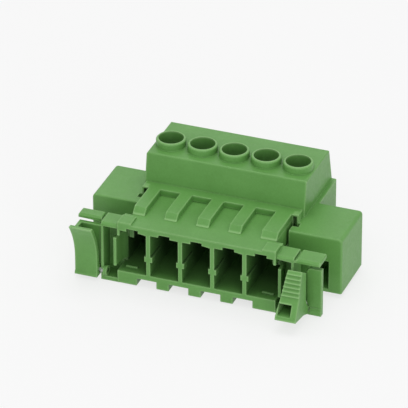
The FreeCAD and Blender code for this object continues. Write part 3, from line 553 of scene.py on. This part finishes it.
@dataclass
class TerminalHousing:
    """Rear moulding: base, shoulders, chimney block, comb and wire entries."""

    node: str = "terminal_housing"
    body: str = "housing"
    finish: MouldedPlastic = GREEN
    rounding: Rounding = Rounding(width=0.12 * MM)

    def build(self) -> list[bpy.types.Object]:
        """Round the moulding's edges and dress it."""
        return [rounded_piece("terminal_moulding", self.node, self.body, self.rounding,
                              self.finish)]


@dataclass
class Contacts:
    """Pins in the chambers with the current bars behind them."""

    body: str = "housing"
    finish: PlatedMetal = TIN
    rounding: Rounding = Rounding(width=0.14 * MM)

    def build(self) -> list[bpy.types.Object]:
        """Make one stamped contact for each pole."""
        return [rounded_piece(f"stamped_contact_{pole}", f"contact_{pole}", self.body,
                              self.rounding, self.finish) for pole in range(1, POLES + 1)]


@dataclass
class ClampCages:
    """Folded steel cages that lift the wire against the current bar."""

    finish: PlatedMetal = ZINC
    rounding: Rounding = Rounding(width=0.16 * MM)

    def build(self) -> list[bpy.types.Object]:
        """Make one cage for each pole."""
        return [rounded_piece(f"folded_cage_{pole}", f"clamp_cage_{pole}", f"cage_{pole}",
                              self.rounding, self.finish) for pole in range(1, POLES + 1)]


@dataclass
class ClampScrews:
    """Slotted screws with a turned thread."""

    finish: PlatedMetal = TURNED
    rounding: Rounding = Rounding(width=0.08 * MM)
    crest: float = 1.5 * MM
    root: float = 1.2 * MM
    pitch: float = 0.5 * MM
    land: float = 0.05 * MM
    low: float = 9.75 * MM
    top: float = 17.3 * MM
    sectors: int = 24
    sunk: float = 0.9
    foot: float = 0.42
    fade_rate: float = 2.0

    def build(self) -> list[bpy.types.Object]:
        """Make one screw for each pole."""
        return [self._screw(pole) for pole in range(1, POLES + 1)]

    def _screw(self, pole: int) -> bpy.types.Object:
        """Cut the thread of one screw and dress it.

        Args:
            pole: Number of the pole.

        Returns:
            The screw.
        """
        node = f"clamp_screw_{pole}"
        mesh = node_mesh(node)
        self.rounding.apply(mesh)
        axis = (pole - (POLES + 1) / 2) * PITCH
        self._slim_shank(mesh, axis)
        self._wind_thread(mesh, axis)
        return add_piece(f"slotted_screw_{pole}", node, f"screw_{pole}", mesh, self.finish)

    def _slim_shank(self, mesh: bmesh.types.BMesh, axis: float) -> None:
        """Turn the shank between the thread's ends down to its root.

        Args:
            mesh: The screw's mesh.
            axis: X of the screw's axis.
        """
        for level in (self.low - self.pitch / 4, self.top + self.pitch / 4):
            for offset in (-self.pitch / 4, self.pitch / 4):
                everything = mesh.verts[:] + mesh.edges[:] + mesh.faces[:]
                bmesh.ops.bisect_plane(mesh, geom=everything, plane_co=(0, 0, level + offset),
                                       plane_no=(0, 0, 1))
        for vert in mesh.verts:
            if self.low - self.pitch / 4 < vert.co.z < self.top + self.pitch / 4:
                flat = Vector((vert.co.x - axis, vert.co.y))
                if flat.length > self.root:
                    flat *= self.root / flat.length
                    vert.co.x, vert.co.y = axis + flat.x, flat.y

    def _wind_thread(self, mesh: bmesh.types.BMesh, axis: float) -> None:
        """Wind the thread's ridge, a closed form with its foot sunk into the shank.

        Args:
            mesh: The screw's mesh.
            axis: X of the screw's axis.
        """
        steps = int((self.top - self.low) / self.pitch * self.sectors)
        inside = self.root * self.sunk
        half = self.pitch * self.foot
        previous: list[bmesh.types.BMVert] = []
        for step in range(steps + 1):
            turn = 2 * math.pi * step / self.sectors
            level = self.low + (self.top - self.low) * step / steps
            fade = min(1.0, step / self.sectors * self.fade_rate,
                       (steps - step) / self.sectors * self.fade_rate)
            crest = self.root + (self.crest - self.root) * fade
            section = [(inside, -half), (crest, -self.land), (crest, self.land), (inside, half)]
            ring = [mesh.verts.new((axis + radius * math.cos(turn), radius * math.sin(turn),
                                    level + rise)) for radius, rise in section]
            if previous:
                for index in range(4):
                    after = (index + 1) % 4
                    face = mesh.faces.new((previous[index], ring[index], ring[after],
                                           previous[after]))
                    face.smooth = index != 3
            else:
                mesh.faces.new(ring)
            previous = ring
        mesh.faces.new(previous[::-1])
        bmesh.ops.recalc_face_normals(mesh, faces=mesh.faces[:])


@dataclass
class HingePins:
    """Plain steel pins that the latches turn on."""

    body: str = "housing"
    finish: PlatedMetal = TURNED
    rounding: Rounding = Rounding(width=0.1 * MM)

    def build(self) -> list[bpy.types.Object]:
        """Make the pin of each end."""
        return [rounded_piece(f"hinge_pin_{side.value}", f"latch_pin_{side.value}", self.body,
                              self.rounding, self.finish) for side in Side]


@dataclass
class Latch:
    """Lever latch of one end."""

    side: Side
    finish: MouldedPlastic = GREEN
    rounding: Rounding = Rounding(width=0.14 * MM)

    def build(self) -> list[bpy.types.Object]:
        """Round the lever's edges and dress it."""
        node = f"latch_{self.side.value}"
        return [rounded_piece(f"lever_{self.side.value}", node, node, self.rounding,
                              self.finish)]


@dataclass(frozen=True)
class Lamp:
    """A soft rectangular lamp: its centre and sides in metres and its power in watts."""

    place: tuple[float, float, float]
    size: tuple[float, float]
    power: float


@dataclass
class Studio:
    """Pale floor, soft lamps and the camera."""

    floor_size: float = 3.0
    floor_colour: Colour = (0.83, 0.83, 0.83)
    floor_glow: float = 0.72
    camera_place: tuple[float, float, float] = (0.30343, -0.82428, 0.51927)
    camera_turn: tuple[float, float] = (59.944, 20.656)
    lens: float = 395.65
    sensor: float = 36.0
    clip: tuple[float, float] = (0.01, 20.0)
    world_light: float = 0.57
    aim: tuple[float, float, float] = (0.0, -0.01, 0.01)
    lamps: dict[str, Lamp] = field(default_factory=lambda: {
        "overhead": Lamp((0.0, 0.05, 0.65), (0.5, 0.5), 1.4),
        "high_front": Lamp((0.05, -0.5, 0.5), (0.2, 0.2), 0.35),
        "right_front": Lamp((0.4, -0.55, 0.16), (0.3, 0.25), 0.9),
        "back": Lamp((-0.25, 0.66, 0.4), (0.6, 0.35), 0.4),
    })

    def build(self) -> None:
        """Make the floor, the world, the lamps and the camera."""
        self._floor()
        self._world()
        for name, lamp in self.lamps.items():
            self._hang(name, lamp)
        self._camera()
        bpy.context.scene.view_settings.view_transform = "Standard"

    def _floor(self) -> None:
        """Make the floor, whose shade for the camera is close to white."""
        mesh = bpy.data.meshes.new("floor")
        half = self.floor_size / 2
        corners = [(-half, -half, 0), (half, -half, 0), (half, half, 0), (-half, half, 0)]
        mesh.from_pydata(corners, [], [(0, 1, 2, 3)])
        floor = bpy.data.objects.new("floor", mesh)
        bpy.context.scene.collection.objects.link(floor)
        graph = Graph("pale_floor")
        matte = graph.add("ShaderNodeBsdfDiffuse", {"Color": (*self.floor_colour, 1.0)})
        glow = graph.add("ShaderNodeEmission", {"Color": (1, 1, 1, 1), "Strength": 1.0})
        path = graph.add("ShaderNodeLightPath").outputs
        mirrored = graph.maths("MAXIMUM", path["Is Glossy Ray"], path["Is Transmission Ray"])
        seen = graph.maths("MAXIMUM", path["Is Camera Ray"], mirrored)
        share = graph.maths("MULTIPLY", seen, self.floor_glow)
        both = graph.add("ShaderNodeMixShader",
                         {0: share, 1: matte.outputs[0], 2: glow.outputs[0]})
        mesh.materials.append(graph.finish(both))

    def _world(self) -> None:
        """Surround the part with even pale light."""
        world = bpy.data.worlds.new("studio")
        bpy.context.scene.world = world
        world.use_nodes = True
        background = world.node_tree.nodes["Background"]
        background.inputs["Color"].default_value = (1, 1, 1, 1)
        background.inputs["Strength"].default_value = self.world_light

    def _hang(self, name: str, lamp: Lamp) -> None:
        """Hang a lamp so that it faces the part.

        Args:
            name: Name of the lamp.
            lamp: The lamp.
        """
        data = bpy.data.lights.new(name, "AREA")
        data.shape = "RECTANGLE"
        data.size, data.size_y = lamp.size
        data.energy = lamp.power
        hung = bpy.data.objects.new(name, data)
        hung.location = lamp.place
        beam = Vector(self.aim) - Vector(lamp.place)
        hung.rotation_euler = beam.to_track_quat("-Z", "Y").to_euler()
        bpy.context.scene.collection.objects.link(hung)

    def _camera(self) -> None:
        """Set up the long lens that looks down on the part from its front right."""
        data = bpy.data.cameras.new("camera")
        data.lens = self.lens
        data.sensor_width = self.sensor
        data.clip_start, data.clip_end = self.clip
        camera = bpy.data.objects.new("camera", data)
        camera.location = self.camera_place
        tilt, turn = self.camera_turn
        camera.rotation_euler = Euler((math.radians(tilt), 0.0, math.radians(turn)))
        bpy.context.scene.collection.objects.link(camera)
        bpy.context.scene.camera = camera


def main() -> None:
    """Build every piece of the block, light it and log each piece's face count."""
    logging.basicConfig(level=logging.INFO, format="%(name)s: %(message)s")
    Studio().build()
    assemblies = (HeaderShell(), TerminalHousing(), Contacts(), ClampCages(), ClampScrews(),
                  HingePins(), Latch(Side.LEFT), Latch(Side.RIGHT))
    for assembly in assemblies:
        for piece in assembly.build():
            LOG.info("%s made as %s with %d faces", type(assembly).__name__, piece.name,
                     len(piece.data.polygons))


if __name__ == "__main__":
    main()
